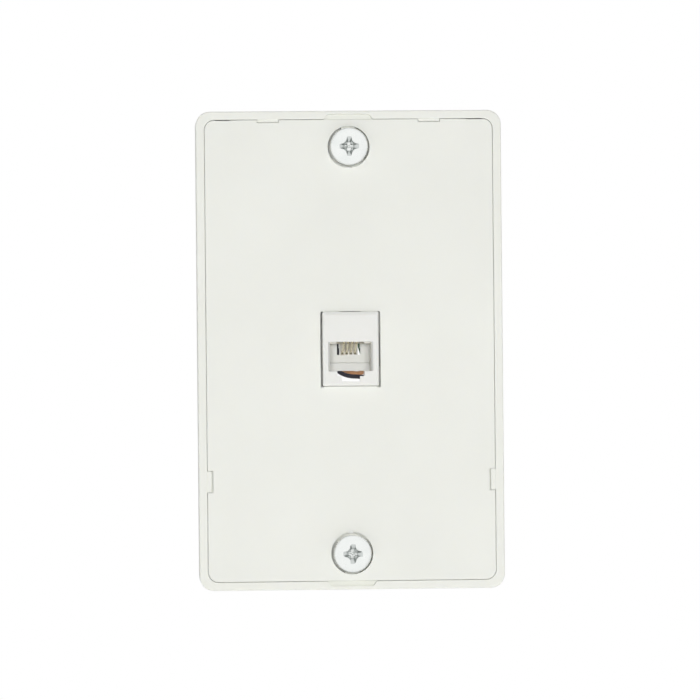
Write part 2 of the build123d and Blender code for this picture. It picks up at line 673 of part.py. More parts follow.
def contact_carrier():
    """Insert with six grooves that holds the contacts and the ends of the leads."""
    half = CARRIER_WIDTH / 2
    block = box((-half, half), (CARRIER_FRONT, CARRIER_BACK), (CARRIER_BOTTOM_Z, CARRIER_TOP_Z))
    lower_edge = front_edges(block, CARRIER_FRONT).sort_by(Axis.Z)[0]
    block = chamfer(lower_edge, CARRIER_FRONT_CHAMFER)
    room = CARRIER_ROOM_WIDTH / 2
    ceiling = CARRIER_BOTTOM_Z + CARRIER_CEILING
    under = (CARRIER_BOTTOM_Z - OVERSHOOT, ceiling)
    block -= box((-room, room), (CARRIER_FRONT - OVERSHOOT, CAVITY_BACK), under)
    groove = Plane.YZ * groove_profile()
    for x in slot_positions(COMB_SLOTS):
        block -= Pos(x, 0, 0) * extrude(groove, amount=COMB_SLOT_WIDTH / 2, both=True)
    pocket = slot_positions(CONTACTS)[-1] + LEAD_RADIUS + LEAD_CLEARANCE
    start = CONTACT_REAR - LEAD_POCKET_MARGIN
    floor = LEAD_RUN_Z - LEAD_RADIUS - LEAD_CLEARANCE
    depth = (start, CARRIER_BACK + OVERSHOOT)
    block -= box((-pocket, pocket), depth, (floor, CARRIER_TOP_Z + OVERSHOOT))
    return block + carrier_tongue()


def contact_wire(x):
    """Sprung contact: over the carrier, down its front and back into the cavity."""
    tip = CAVITY_BACK + CONTACT_TIP_IN_COMB
    points = [
        (x, CONTACT_REAR, CONTACT_RUN_Z),
        (x, CONTACT_FRONT_Y, CONTACT_RUN_Z),
        (x, CONTACT_FRONT_Y, CONTACT_TURN_Z),
        (x, tip, CONTACT_TIP_Z),
    ]
    path = FilletPolyline(*points, radius=[CONTACT_BEND, CONTACT_LOWER_BEND])
    return tube_along(path, CONTACT_RADIUS)


def tube_along(path, radius):
    """Round bar along a path."""
    start = Plane(origin=path @ 0, z_dir=path % 0)
    return sweep(start * Circle(radius), path=path)


# Terminals


def spade_lug(side, level):
    """Forked lug under the terminal screw, with its barrel towards the jack."""
    x, z = side * TERMINAL_X, level * TERMINAL_Z
    inner = x - side * LUG_BARREL_FROM_SCREW
    end = inner - side * LUG_BARREL_LENGTH
    middle = x + side * (LUG_OUTWARD - LUG_INWARD) / 2
    tongue = Pos(middle, z) * RectangleRounded(LUG_OUTWARD + LUG_INWARD, LUG_WIDTH, LUG_CORNER)
    neck = Pos((x + end) / 2, z) * Rectangle(abs(x - end), LUG_NECK_WIDTH)
    flat = slab(tongue + neck, LUG_BACK, LUG_FRONT)
    low, high = sorted((x, x + side * LUG_WIDTH))
    flat -= box((low, high), (LUG_FRONT, LUG_BACK), (z - LUG_SLOT / 2, z + LUG_SLOT / 2))
    flat -= disc(x, z, LUG_SLOT, LUG_BACK, LUG_FRONT)
    barrel_plane = Plane(origin=(end, BARREL_Y, z), x_dir=(0, 1, 0), z_dir=(side, 0, 0))
    barrel = extrude(barrel_plane * Circle(LUG_BARREL_DIAMETER / 2), amount=LUG_BARREL_LENGTH)
    bore = extrude(barrel_plane * Circle(LEAD_RADIUS + LEAD_CLEARANCE), amount=LUG_BARREL_LENGTH)
    crimped = sorted((end + side * CRIMP_LENGTH / 2, end + side * CRIMP_LENGTH * 3 / 2))
    top = BARREL_Y + LUG_BARREL_DIAMETER / 2
    dent = box(crimped, (top - CRIMP_DEPTH, top + OVERSHOOT), (z - LUG_WIDTH, z + LUG_WIDTH))
    return flat + barrel - bore - dent


def washer(side, level, front):
    """Flat washer of a terminal."""
    x, z = side * TERMINAL_X, level * TERMINAL_Z
    back = front + WASHER_THICKNESS
    return disc(x, z, WASHER_DIAMETER, back, front) - disc(x, z, WASHER_BORE, back, front)


def cross_outline(span, arm):
    """Outline of a cross recess with rounded inner corners."""
    cross = Rectangle(span, arm) + Rectangle(arm, span)
    inner = [v for v in cross.vertices() if abs(v.X) < arm and abs(v.Y) < arm]
    return fillet(inner, arm * RECESS_WEB)


def phillips_recess(head_diameter, head_height):
    """Cross recess whose four arms shallow towards their ends."""
    span, arm = head_diameter * RECESS_SPAN, head_diameter * RECESS_ARM
    depth = head_height * RECESS_DEPTH
    foot = span / 2 * RECESS_FOOT
    above = (span / 2 - foot) * OVERSHOOT / depth
    bottom = head_height - depth
    cross = Pos(0, 0, bottom) * extrude(cross_outline(span, arm), amount=depth + OVERSHOOT)
    cone = Cone(foot, span / 2 + above, depth + OVERSHOOT)
    return cross & (Pos(0, 0, bottom + (depth + OVERSHOOT) / 2) * cone)


def pan_head(diameter, height, edge):
    """Shallow domed head with a soft edge, its flat underside at z = 0."""
    radius, rise = diameter / 2, height - edge
    dome = (radius**2 + rise**2) / (2 * rise)
    spread = degrees(asin(radius / dome))
    profile = [
        Line((0, 0), (radius, 0)),
        Line((radius, 0), (radius, edge)),
        CenterArc((0, height - dome), dome, 90 - spread, spread),
        Line((0, height), (0, 0)),
    ]
    face = make_face(profile)
    shoulder = face.vertices().sort_by_distance((radius, edge))[0]
    return revolve(Plane.XZ * fillet(shoulder, edge * HEAD_SOFTNESS), axis=Axis.Z)


def pan_head_screw(head_diameter, head_height, edge, sections):
    """Screw with its head's seat at the origin, its head up and its shank in steps down."""
    screw = pan_head(head_diameter, head_height, edge)
    screw -= phillips_recess(head_diameter, head_height)
    top = 0.0
    for diameter, length in sections:
        screw += Pos(0, 0, top - length / 2) * Cylinder(diameter / 2, length)
        top -= length
    return screw


def terminal_screw(side, level):
    """Terminal screw, its head behind the wall plane."""
    screw = pan_head_screw(
        TERMINAL_HEAD_DIAMETER,
        TERMINAL_HEAD_HEIGHT,
        TERMINAL_HEAD_EDGE,
        [(TERMINAL_SHANK_DIAMETER, TERMINAL_SHANK_LENGTH)],
    )
    place = Pos(side * TERMINAL_X, TERMINAL_HEAD_SEAT, level * TERMINAL_Z)
    return place * Rot(-90, 0, 0) * screw


# Studs


def stud_screw(sign):
    """Shouldered stud that a telephone's keyhole slot hooks over."""
    seat = RIM_FRONT - STUD_NECK_FREE
    neck = STUD_BOSS_FRONT - seat
    screw = pan_head_screw(
        STUD_HEAD_DIAMETER,
        STUD_HEAD_HEIGHT,
        STUD_HEAD_EDGE,
        [(STUD_NECK_DIAMETER, neck), (STUD_THREAD_DIAMETER, STUD_THREAD_LENGTH)],
    )
    turn = LOWER_STUD_TURN if sign < 0 else 0
    return Pos(0, seat, sign * STUD_Z) * Rot(90, 0, 0) * Rot(0, 0, turn) * screw


def stud_insert(sign):
    """Brass insert in the boss, with a groove round it that the plastic locks into."""
    z = sign * STUD_Z
    back = -INSERT_SETBACK
    front = back - INSERT_LENGTH
    insert = disc(0, z, INSERT_DIAMETER, back, front)
    middle = (back + front) / 2
    half = INSERT_GROOVE_WIDTH / 2
    ring = disc(0, z, INSERT_DIAMETER, middle + half, middle - half)
    ring -= disc(0, z, INSERT_DIAMETER - 2 * INSERT_GROOVE, middle + half, middle - half)
    return insert - ring - disc(0, z, STUD_THREAD_DIAMETER + 2 * THREAD_CLEARANCE, back, front)


# Leads


def lead_routes():
    """Route of each lead: from its contact, round behind the jack, into its lug's barrel."""
    slots = dict(zip(("black", "orange", "red", "green"), slot_positions(CONTACTS)))
    bends = {
        "black": [(-3.7, 11.1, 0.2), (-3.2, 7.8, -6.33), (5.2, 7.6, -6.62)],
        "orange": [(-2.7, 11.85, 0.2), (-1.9, 8.9, -5.45), (5.0, 8.8, -5.7), (8.6, 8.0, 0.4)],
        "red": [(-6.4, 11.6, 10.1)],
        "green": [(3.6, 11.0, -0.8), (5.0, 11.2, -6.6), (0.6, 9.4, -10.6), (-6.4, 7.4, -10.0)],
    }
    routes = {}
    for name, (side, level, colour) in TERMINALS.items():
        x = slots[colour]
        z = level * TERMINAL_Z
        mouth = side * (TERMINAL_X - LUG_BARREL_FROM_SCREW - LUG_BARREL_LENGTH)
        start = (x, CONTACT_REAR, LEAD_RUN_Z)
        way_out = (x, CARRIER_BACK + LEAD_LOOPS[colour], LEAD_RUN_Z)
        approach = (mouth - side * LEAD_STRAIGHT, BARREL_Y, z)
        end = (mouth + side * LEAD_IN_BARREL, BARREL_Y, z)
        routes[colour] = [start, way_out] + bends[colour] + [approach, end]
    return routes


def bend_radii(points):
    """Largest radius at each inner point that leaves room on both of its runs."""
    radii = []
    for before, at, after in zip(points, points[1:], points[2:]):
        incoming, outgoing = Vector(at) - Vector(before), Vector(after) - Vector(at)
        turn = radians(incoming.get_angle(outgoing))
        shorter = min(incoming.length, outgoing.length)
        radii.append(0.45 * shorter / tan(turn / 2))
    return radii


def lead(points):
    """Insulated lead: straight runs joined by arcs."""
    return tube_along(FilletPolyline(*points, radius=bend_radii(points)), LEAD_RADIUS)


def pieces():
    """Every piece of the socket by its name."""
    made = {
        "base_frame": base_frame(),
        "cover": cover(),
        "jack_housing": jack_housing(),
        "contact_carrier": contact_carrier(),
    }
    for number, x in enumerate(slot_positions(CONTACTS), start=1):
        made[f"contact_wire_{number}"] = contact_wire(x)
    for colour, points in lead_routes().items():
        made[f"lead_{colour}"] = lead(points)
    for name, (side, level, _) in TERMINALS.items():
        made[f"inner_washer_{name}"] = washer(side, level, TERMINAL_BEHIND_WALL)
        made[f"spade_lug_{name}"] = spade_lug(side, level)
        made[f"outer_washer_{name}"] = washer(side, level, LUG_BACK)
        made[f"terminal_screw_{name}"] = terminal_screw(side, level)
    for name, sign in (("upper", 1), ("lower", -1)):
        made[f"{name}_stud_screw"] = stud_screw(sign)
        made[f"{name}_stud_insert"] = stud_insert(sign)
    return made


os.makedirs("parts", exist_ok=True)
for node, shape in pieces().items():
    export_step(shape, f"parts/{node}.step")
for colour, route in lead_routes().items():
    print(colour, "bend radii", [round(r, 2) for r in bend_radii(route)])
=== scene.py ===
"""Telephone wall socket: its finishes, some small pieces, its light and its camera.

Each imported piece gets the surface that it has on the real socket. Four of them are replaced: the two
studs, whose driver's recess is punched to its full depth, and the two leads that show from the front.
Added are the bare ends of the leads, the lips of the cover's opening and an edge in the plug way.
"""

from __future__ import annotations

import logging
import math
from dataclasses import dataclass, field
from enum import Enum

import bpy
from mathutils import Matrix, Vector

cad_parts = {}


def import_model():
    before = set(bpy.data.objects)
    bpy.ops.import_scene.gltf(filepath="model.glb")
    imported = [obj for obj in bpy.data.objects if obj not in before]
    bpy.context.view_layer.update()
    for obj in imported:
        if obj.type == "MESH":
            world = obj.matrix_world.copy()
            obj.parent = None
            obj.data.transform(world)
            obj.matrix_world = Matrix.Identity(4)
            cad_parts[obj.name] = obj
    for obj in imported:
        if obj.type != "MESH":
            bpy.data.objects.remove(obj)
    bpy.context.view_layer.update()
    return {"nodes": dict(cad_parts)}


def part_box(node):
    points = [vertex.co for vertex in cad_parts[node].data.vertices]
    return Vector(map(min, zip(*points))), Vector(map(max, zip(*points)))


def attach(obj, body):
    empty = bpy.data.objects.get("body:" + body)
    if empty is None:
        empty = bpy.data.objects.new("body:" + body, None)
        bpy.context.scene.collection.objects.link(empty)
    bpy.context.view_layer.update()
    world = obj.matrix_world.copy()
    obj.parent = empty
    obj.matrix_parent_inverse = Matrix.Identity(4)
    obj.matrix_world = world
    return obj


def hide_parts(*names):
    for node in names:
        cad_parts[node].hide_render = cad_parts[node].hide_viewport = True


LOG = logging.getLogger("wall_socket")
MM = 0.001
# Most of a noise pattern lies between these values, which are spread over the whole range
NOISE_SPAN = {"From Min": 0.3, "From Max": 0.7}
# Blender's wave pattern runs through this many radians in one unit of length
WAVE_RADIANS = 20.0
# Corners of a mesh that are closer than this are one
WELD_M = 0.0005 * MM
# Faces that meet at less than this are shaded as one round surface
ROUND_ANGLE = math.radians(50)


class Terminal(Enum):
    """The four terminals behind the plate, by the side of the jack and the level."""

    UPPER_LEFT = "upper_left"
    LOWER_LEFT = "lower_left"
    UPPER_RIGHT = "upper_right"
    LOWER_RIGHT = "lower_right"

    @property
    def side(self) -> int:
        """Minus one to the left of the jack, one to the right of it."""
        return -1 if self.value.endswith("left") else 1


def linear(colour: str) -> tuple[float, float, float, float]:
    """Turns an sRGB colour into the linear one that a shader takes.

    Args:
        colour: Six hex digits after a number sign.

    Returns:
        Linear red, green and blue, and a full alpha.
    """
    channels = [int(colour[i : i + 2], 16) / 255 for i in (1, 3, 5)]
    bright = [c / 12.92 if c <= 0.04045 else ((c + 0.055) / 1.055) ** 2.4 for c in channels]
    return (bright[0], bright[1], bright[2], 1.0)


def per_metre(size_mm: float) -> float:
    """Scale of a pattern whose marks are about this size in millimetres."""
    return 1.0 / (size_mm * MM)


def feed(tree: bpy.types.NodeTree, node: bpy.types.Node, inputs: dict) -> None:
    """Sets a node's inputs.

    Args:
        tree: Node tree that holds the node.
        node: Node that gets them.
        inputs: By the input's name or number, either a constant or the socket that feeds it.
    """
    for key, value in inputs.items():
        if isinstance(value, bpy.types.NodeSocket):
            tree.links.new(value, node.inputs[key])
        else:
            node.inputs[key].default_value = value


def add_node(
    tree: bpy.types.NodeTree, kind: str, inputs: dict | None = None, **settings
) -> bpy.types.Node:
    """Adds one node to a tree, with its settings and what goes into it.

    Args:
        tree: Node tree that gets the node.
        kind: Blender's name of the node's type.
        inputs: By the input's name or number, either a constant or the socket that feeds it.
        **settings: Properties of the node itself.

    Returns:
        The new node.
    """
    node = tree.nodes.new(kind)
    for key, value in settings.items():
        setattr(node, key, value)
    feed(tree, node, inputs or {})
    return node


def new_surface(name: str) -> tuple[bpy.types.Material, bpy.types.NodeTree, bpy.types.Node]:
    """Makes an empty material.

    Args:
        name: Name of the material.

    Returns:
        The material, its node tree and its Principled shader.
    """
    material = bpy.data.materials.new(name)
    material.use_nodes = True
    tree = material.node_tree
    tree.nodes.clear()
    shader = add_node(tree, "ShaderNodeBsdfPrincipled")
    add_node(tree, "ShaderNodeOutputMaterial", {"Surface": shader.outputs["BSDF"]})
    return material, tree, shader


def tinted(
    tree: bpy.types.NodeTree, pattern: bpy.types.NodeSocket, dark: str, light: str
) -> bpy.types.NodeSocket:
    """Spreads a noise pattern between two tones.

    Args:
        tree: Node tree of the material.
        pattern: The noise.
        dark: Tone of its low values.
        light: Tone of its high values.

    Returns:
        The colour.
    """
    shade = add_node(tree, "ShaderNodeMapRange", {"Value": pattern, **NOISE_SPAN})
    # Of a colour mix, input 0 is the share, 6 and 7 are the two colours, and output 2 is their mix
    tones = {0: shade.outputs["Result"], 6: linear(dark), 7: linear(light)}
    return add_node(tree, "ShaderNodeMix", tones, data_type="RGBA").outputs[2]


@dataclass(frozen=True)
class MouldedPlastic:
    """Injection-moulded thermoplastic.

    The mould's spark-eroded steel leaves a grain finer than a tenth of a millimetre, which dulls
    the gloss, and the melt cools into a slight ripple that a raking light shows.
    """

    name: str
    light: str
    dark: str
    roughness: float = 0.4
    roughness_spread: float = 0.03
    ior: float = 1.53
    glow: float = 0.12
    glow_depth_mm: float = 0.6
    glow_rgb: tuple[float, float, float] = (1.0, 0.9, 0.7)
    cloud_mm: float = 24.0
    grain_mm: float = 0.16
    grain_height_mm: float = 0.0016
    ripple_mm: float = 7.0
    ripple_height_mm: float = 0.012

    def make(self) -> bpy.types.Material:
        """Builds the material."""
        material, tree, shader = new_surface(self.name)
        place = add_node(tree, "ShaderNodeTexCoord").outputs["Object"]
        broad = {"Vector": place, "Scale": per_metre(self.cloud_mm)}
        cloud = add_node(tree, "ShaderNodeTexNoise", broad)
        colour = tinted(tree, cloud.outputs["Fac"], self.dark, self.light)
        # Grain of the mould's steel, drawn at 0.16 mm because the real 0.05 mm would not show
        fine = {"Vector": place, "Scale": per_metre(self.grain_mm), "Detail": 3.0}
        grain = add_node(tree, "ShaderNodeTexNoise", fine)
        dulled, spread = self.roughness, self.roughness_spread
        limits = {"To Min": dulled - spread, "To Max": dulled + spread}
        matte = {"Value": grain.outputs["Fac"], **NOISE_SPAN, **limits}
        dull = add_node(tree, "ShaderNodeMapRange", matte)
        wide = {"Vector": place, "Scale": per_metre(self.ripple_mm), "Detail": 0.0}
        ripple = add_node(tree, "ShaderNodeTexNoise", wide)
        relief = {"Height": ripple.outputs["Fac"], "Distance": self.ripple_height_mm * MM}
        swell = add_node(tree, "ShaderNodeBump", relief)
        pressed = {"Height": grain.outputs["Fac"], "Distance": self.grain_height_mm * MM}
        pressed["Normal"] = swell.outputs["Normal"]
        skin = add_node(tree, "ShaderNodeBump", pressed)
        feed(
            tree,
            shader,
            {
                "Base Color": colour,
                "Roughness": dull.outputs["Result"],
                "Normal": skin.outputs["Normal"],
                "IOR": self.ior,
                "Subsurface Weight": self.glow,
                "Subsurface Radius": self.glow_rgb,
                "Subsurface Scale": self.glow_depth_mm * MM,
            },
        )
        return material


@dataclass(frozen=True)
class PlatedSteel:
    """Steel under a thin bright coat, as on cold-headed screws and stamped washers.

    The coat keeps the soft unevenness of the tumbled steel, so highlights are wide and soft.
    """

    name: str
    light: str
    dark: str
    roughness: float = 0.24
    roughness_spread: float = 0.04
    pitting_mm: float = 0.35
    pitting_height_mm: float = 0.0006
    swell_mm: float = 2.2
    swell_height_mm: float = 0.004

    def make(self) -> bpy.types.Material:
        """Builds the material."""
        material, tree, shader = new_surface(self.name)
        place = add_node(tree, "ShaderNodeTexCoord").outputs["Object"]
        wide = {"Vector": place, "Scale": per_metre(self.swell_mm), "Detail": 1.0}
        swell = add_node(tree, "ShaderNodeTexNoise", wide)
        colour = tinted(tree, swell.outputs["Fac"], self.dark, self.light)
        fine = {"Vector": place, "Scale": per_metre(self.pitting_mm), "Detail": 3.0}
        pitting = add_node(tree, "ShaderNodeTexNoise", fine)
        dulled, spread = self.roughness, self.roughness_spread
        limits = {"To Min": dulled - spread, "To Max": dulled + spread}
        matte = {"Value": pitting.outputs["Fac"], **NOISE_SPAN, **limits}
        dull = add_node(tree, "ShaderNodeMapRange", matte)
        relief = {"Height": swell.outputs["Fac"], "Distance": self.swell_height_mm * MM}
        under = add_node(tree, "ShaderNodeBump", relief)
        pitted = {"Height": pitting.outputs["Fac"], "Distance": self.pitting_height_mm * MM}
        pitted["Normal"] = under.outputs["Normal"]
        skin = add_node(tree, "ShaderNodeBump", pitted)
        feed(
            tree,
            shader,
            {
                "Base Color": colour,
                "Roughness": dull.outputs["Result"],
                "Normal": skin.outputs["Normal"],
                "Metallic": 1.0,
            },
        )
        return material


@dataclass(frozen=True)
class TurnedBrass:
    """Free-cutting brass off the lathe: fine rings about the axis and a warm, slightly dulled tone."""

    name: str = "turned_brass"
    light: str = "#D9BC7A"
    dark: str = "#B7924F"
    roughness: float = 0.3
    roughness_spread: float = 0.04
    stain_mm: float = 1.5
    # Radius in which a ring's wave runs through one radian; real feed marks would be too fine to show
    ring_mm: float = 0.22
    ring_height_mm: float = 0.004
    wobble: float = 0.4

    def make(self, axis_height: float) -> bpy.types.Material:
        """Builds the material.

        Args:
            axis_height: Height in metres of the upper stud's axis; the lower stud lies as far below.

        Returns:
            The material, with its rings about the axis of either stud.
        """
        material, tree, shader = new_surface(self.name)
        place = add_node(tree, "ShaderNodeTexCoord").outputs["Object"]
        folded = add_node(tree, "ShaderNodeVectorMath", {0: place}, operation="ABSOLUTE")
        off_axis = {0: folded.outputs["Vector"], 1: (0.0, 0.0, axis_height)}
        from_axis = add_node(tree, "ShaderNodeVectorMath", off_axis, operation="SUBTRACT")
        across = {0: from_axis.outputs["Vector"], 1: (1.0, 0.0, 1.0)}
        flat = add_node(tree, "ShaderNodeVectorMath", across, operation="MULTIPLY").outputs["Vector"]
        scale = per_metre(self.ring_mm) / WAVE_RADIANS
        wave = {"Vector": flat, "Scale": scale, "Distortion": self.wobble}
        rings = add_node(tree, "ShaderNodeTexWave", wave, wave_type="RINGS", rings_direction="SPHERICAL")
        dulled, spread = self.roughness, self.roughness_spread
        limits = {"To Min": dulled - spread, "To Max": dulled + spread}
        dull = add_node(tree, "ShaderNodeMapRange", {"Value": rings.outputs["Fac"], **limits})
        broad = {"Vector": place, "Scale": per_metre(self.stain_mm)}
        stain = add_node(tree, "ShaderNodeTexNoise", broad)
        colour = tinted(tree, stain.outputs["Fac"], self.dark, self.light)
        relief = {"Height": rings.outputs["Fac"], "Distance": self.ring_height_mm * MM}
        turned = add_node(tree, "ShaderNodeBump", relief)
        feed(
            tree,
            shader,
            {
                "Base Color": colour,
                "Roughness": dull.outputs["Result"],
                "Normal": turned.outputs["Normal"],
                "Metallic": 1.0,
            },
        )
        return material


@dataclass(frozen=True)
class DrawnMetal:
    """Wire from a die or sheet from rolls: bright, with faint lines that break its highlight."""

    name: str
    light: str
    dark: str
    roughness: float = 0.22
    roughness_spread: float = 0.06
    line_mm: float = 0.08
    line_height_mm: float = 0.0012
    # Shrinks the pattern's coordinates along X, Y and Z, so that its marks run long that way
    along: tuple[float, float, float] = (1.0, 1 / 12, 1 / 6)

    def make(self) -> bpy.types.Material:
        """Builds the material."""
        material, tree, shader = new_surface(self.name)
        place = add_node(tree, "ShaderNodeTexCoord").outputs["Object"]
        drawn = add_node(tree, "ShaderNodeMapping", {"Vector": place, "Scale": self.along})
        # Lines drawn at about 0.1 mm because the real hundredth of a millimetre would not show
        fine = {"Vector": drawn.outputs["Vector"], "Scale": per_metre(self.line_mm)}
        lines = add_node(tree, "ShaderNodeTexNoise", fine)
        colour = tinted(tree, lines.outputs["Fac"], self.dark, self.light)
        dulled, spread = self.roughness, self.roughness_spread
        limits = {"To Min": dulled - spread, "To Max": dulled + spread}
        matte = {"Value": lines.outputs["Fac"], **NOISE_SPAN, **limits}
        dull = add_node(tree, "ShaderNodeMapRange", matte)
        relief = {"Height": lines.outputs["Fac"], "Distance": self.line_height_mm * MM}
        scored = add_node(tree, "ShaderNodeBump", relief)
        feed(
            tree,
            shader,
            {
                "Base Color": colour,
                "Roughness": dull.outputs["Result"],
                "Normal": scored.outputs["Normal"],
                "Metallic": 1.0,
            },
        )
        return material


@dataclass(frozen=True)
class Insulation:
    """Soft PVC drawn over the strands: satin, slightly lumpy where the strands press through."""

    name: str
    light: str
    dark: str
    roughness: float = 0.42
    roughness_spread: float = 0.05
    ior: float = 1.53
    glow: float = 0.06
    glow_depth_mm: float = 0.3
    lump_mm: float = 1.1
    lump_height_mm: float = 0.02
    skin_mm: float = 0.12
    skin_height_mm: float = 0.0012

    def make(self) -> bpy.types.Material:
        """Builds the material."""
        material, tree, shader = new_surface(self.name)
        place = add_node(tree, "ShaderNodeTexCoord").outputs["Object"]
        wide = {"Vector": place, "Scale": per_metre(self.lump_mm), "Detail": 1.0}
        lumps = add_node(tree, "ShaderNodeTexNoise", wide)
        colour = tinted(tree, lumps.outputs["Fac"], self.dark, self.light)
        skin = add_node(tree, "ShaderNodeTexNoise", {"Vector": place, "Scale": per_metre(self.skin_mm)})
        dulled, spread = self.roughness, self.roughness_spread
        limits = {"To Min": dulled - spread, "To Max": dulled + spread}
        matte = {"Value": skin.outputs["Fac"], **NOISE_SPAN, **limits}
        dull = add_node(tree, "ShaderNodeMapRange", matte)
        relief = {"Height": lumps.outputs["Fac"], "Distance": self.lump_height_mm * MM}
        under = add_node(tree, "ShaderNodeBump", relief)
        drawn = {"Height": skin.outputs["Fac"], "Distance": self.skin_height_mm * MM}
        drawn["Normal"] = under.outputs["Normal"]
        surface = add_node(tree, "ShaderNodeBump", drawn)
        feed(
            tree,
            shader,
            {
                "Base Color": colour,
                "Roughness": dull.outputs["Result"],
                "Normal": surface.outputs["Normal"],
                "IOR": self.ior,
                "Subsurface Weight": self.glow,
                "Subsurface Scale": self.glow_depth_mm * MM,
            },
        )
        return material


def dress(node: bpy.types.Object, material: bpy.types.Material) -> None:
    """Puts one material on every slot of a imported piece.

    Args:
        node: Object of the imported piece.
        material: Material that it gets.
    """
    if not node.material_slots:
        node.data.materials.append(material)
    for slot in node.material_slots:
        slot.material = material
    LOG.info("%s is dressed in %s", node.name, material.name)


def take_up(piece: bpy.types.Object) -> None:
    """Selects one object alone and makes it the active one."""
    bpy.ops.object.select_all(action="DESELECT")
    piece.select_set(True)
    bpy.context.view_layer.objects.active = piece


@dataclass(frozen=True)
class Rail:
    """Small straight edge of a moulding: its ends along X, edges along Z and faces along Y."""

    name: str
    ends_mm: tuple[float, float]
    edges_mm: tuple[float, float]
    faces_mm: tuple[float, float]
    slope_mm: float = 0.0
    slope_steps: int = 6
    # What the mould leaves on every other edge that turns by more than this
    edge_mm: float = 0.04
    edge_steps: int = 2
    edge_turn_deg: float = 60.0

    def build(self, moulded: bpy.types.Material) -> bpy.types.Object:
        """Models the rail, all its edges softened and the upper front one rounded off by the slope.

        Args:
            moulded: Material of the moulding that it belongs to.

        Returns:
            The rail, at the origin.
        """
        low = Vector((self.ends_mm[0], self.faces_mm[0], self.edges_mm[0])) * MM
        high = Vector((self.ends_mm[1], self.faces_mm[1], self.edges_mm[1])) * MM
        middle = (low + high) / 2
        bpy.ops.object.select_all(action="DESELECT")
        bpy.ops.mesh.primitive_cube_add(size=1.0, location=middle)
        rail = bpy.context.object
        rail.name = self.name
        rail.scale = high - low
        bpy.ops.object.transform_apply(location=True, rotation=True, scale=True)
        if self.slope_mm:
            for vertex in rail.data.vertices:
                vertex.select = vertex.co.y < middle.y and vertex.co.z > middle.z
            bpy.ops.object.mode_set(mode="EDIT")
            # The change of mode carries the two chosen corners over to the edge between them
            bpy.ops.mesh.select_mode(type="VERT")
            bpy.ops.mesh.select_mode(type="EDGE")
            bpy.ops.mesh.bevel(offset=self.slope_mm * MM, segments=self.slope_steps, affect="EDGES")
            bpy.ops.object.mode_set(mode="OBJECT")
        soft = rail.modifiers.new("moulded_edges", "BEVEL")
        soft.width = self.edge_mm * MM
        soft.segments = self.edge_steps
        soft.limit_method = "ANGLE"
        soft.angle_limit = math.radians(self.edge_turn_deg)
        bpy.ops.object.modifier_apply(modifier=soft.name)
        bpy.ops.object.shade_smooth_by_angle(angle=ROUND_ANGLE)
        rail.data.materials.append(moulded)
        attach(rail, "root")
        LOG.info("%s has %d faces", rail.name, len(rail.data.polygons))
        return rail


@dataclass
class Plate:
    """Moulded base and its clipped cover, with the lips of the cover's opening."""

    nodes: dict[str, bpy.types.Object]
    # Off-white ABS: the pigment is slightly green-yellow, and the cover and base are of one batch
    base_finish: MouldedPlastic = MouldedPlastic("white_abs_base", "#EFF0EA", "#EDEEE7")
    cover_finish: MouldedPlastic = MouldedPlastic("white_abs_cover", "#EFF0EA", "#ECEDE7")
    # Lips round the jack: the lower one slopes in under it, the upper ones leave its middle open
    lips: tuple[Rail, ...] = (
        Rail("lower_opening_lip", (-6.6, 6.6), (-9.3, -8.54), (-7.19, -5.6), 0.6),
        Rail("opening_sill", (-7.2, 7.2), (-9.3, -8.88), (-7.195, -5.6)),
        Rail("upper_opening_lip_left", (-6.6, -2.45), (9.14, 9.4), (-7.14, -5.6)),
        Rail("upper_opening_lip_right", (2.45, 6.6), (9.14, 9.4), (-7.14, -5.6)),
    )

    def finish(self) -> None:
        """Dresses the base and the cover, and adds the lips of the cover's opening."""
        dress(self.nodes["base_frame"], self.base_finish.make())
        moulded = self.cover_finish.make()
        dress(self.nodes["cover"], moulded)
        for lip in self.lips:
            lip.build(moulded)


@dataclass
class Jack:
    """Jack housing, contact carrier and the four contacts."""

    nodes: dict[str, bpy.types.Object]
    contacts: int = 4
    # Glossier than the plate: the housing's mould is polished, so that the plug slides in
    housing_finish: MouldedPlastic = MouldedPlastic(
        "white_abs_jack",
        "#EDEDEA",
        "#EAEBE6",
        roughness=0.3,
        grain_mm=0.12,
        grain_height_mm=0.0008,
        ripple_mm=3.0,
    )
    # Unpigmented polyester has a cream cast and lets light some way in
    carrier_finish: MouldedPlastic = MouldedPlastic(
        "cream_pbt_carrier",
        "#F1EEE4",
        "#EBE6D9",
        roughness=0.42,
        glow=0.3,
        glow_depth_mm=0.8,
        ripple_mm=2.0,
    )
    # A thin gold over nickel, its colour painted pale: a painted reflection of the white room, which
    # washes the gold out
    contact_finish: DrawnMetal = DrawnMetal("gold_plated_phosphor_bronze", "#EFE8CC", "#E0D6B4")
    # Rounded edge on the step at the end of the plug way, which shows as a faint line across it
    step_edge: Rail = Rail("plug_way_step_edge", (-4.9, 4.9), (-3.3, -2.93), (1.81, 2.9), 0.26)

    def finish(self) -> None:
        """Dresses the housing, the carrier and the contacts, and adds the edge in the plug way."""
        moulded = self.housing_finish.make()
        dress(self.nodes["jack_housing"], moulded)
        self.step_edge.build(moulded)
        dress(self.nodes["contact_carrier"], self.carrier_finish.make())
        wire = self.contact_finish.make()
        for number in range(1, self.contacts + 1):
            dress(self.nodes[f"contact_wire_{number}"], wire)


